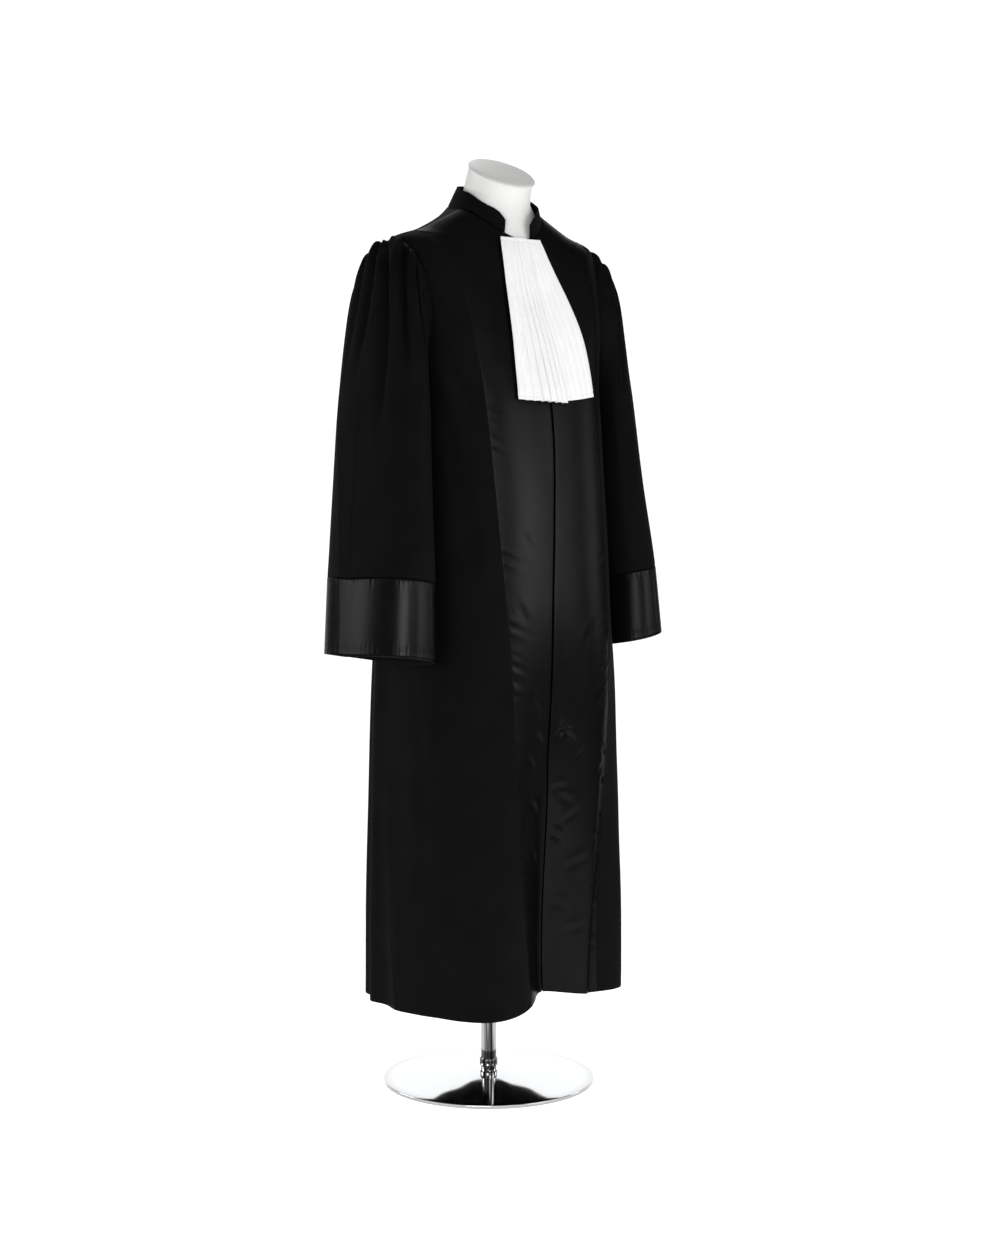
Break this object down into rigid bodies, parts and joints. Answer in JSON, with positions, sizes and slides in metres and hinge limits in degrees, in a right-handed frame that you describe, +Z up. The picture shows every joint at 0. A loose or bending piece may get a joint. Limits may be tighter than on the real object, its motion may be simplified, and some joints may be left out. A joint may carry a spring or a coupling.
{
  "type": "judicial robe on a limbless dress form with a stand",
  "caption": "Long black robe with wide sleeves, satin front bands and cuffs, a stand collar and a white pleated jabot, on a dress form with a pole and a round base.",
  "frame": {"origin": "centre of the base's underside, on the pole's axis", "axes": "+Z up along the pole, -Y the way the wearer faces, +X towards the wearer's left"},
  "size_m": [0.664, 0.4183, 1.6459],
  "materials": {
    "black_wool": "matte black wool with a faint nap",
    "black_satin": "black satin with a soft sheen",
    "white_cotton": "crisp white pleated cotton",
    "form_white": "smooth off-white",
    "cap_grey": "pale grey, satin",
    "chrome": "polished"
  },
  "bodies": {
    "root": {"back": "black_wool", "front_right": "black_wool", "front_left": "black_wool", "satin_band_right": "black_satin", "satin_band_left": "black_satin", "sleeve_right": "black_wool", "sleeve_left": "black_wool", "cuff_right": "black_satin", "cuff_left": "black_satin", "collar": "black_wool", "jabot": "white_cotton", "form_torso": "form_white", "neck_cap": "cap_grey", "pole": "chrome", "pole_ring": "chrome", "base": "chrome"}
  },
  "joints": []
}
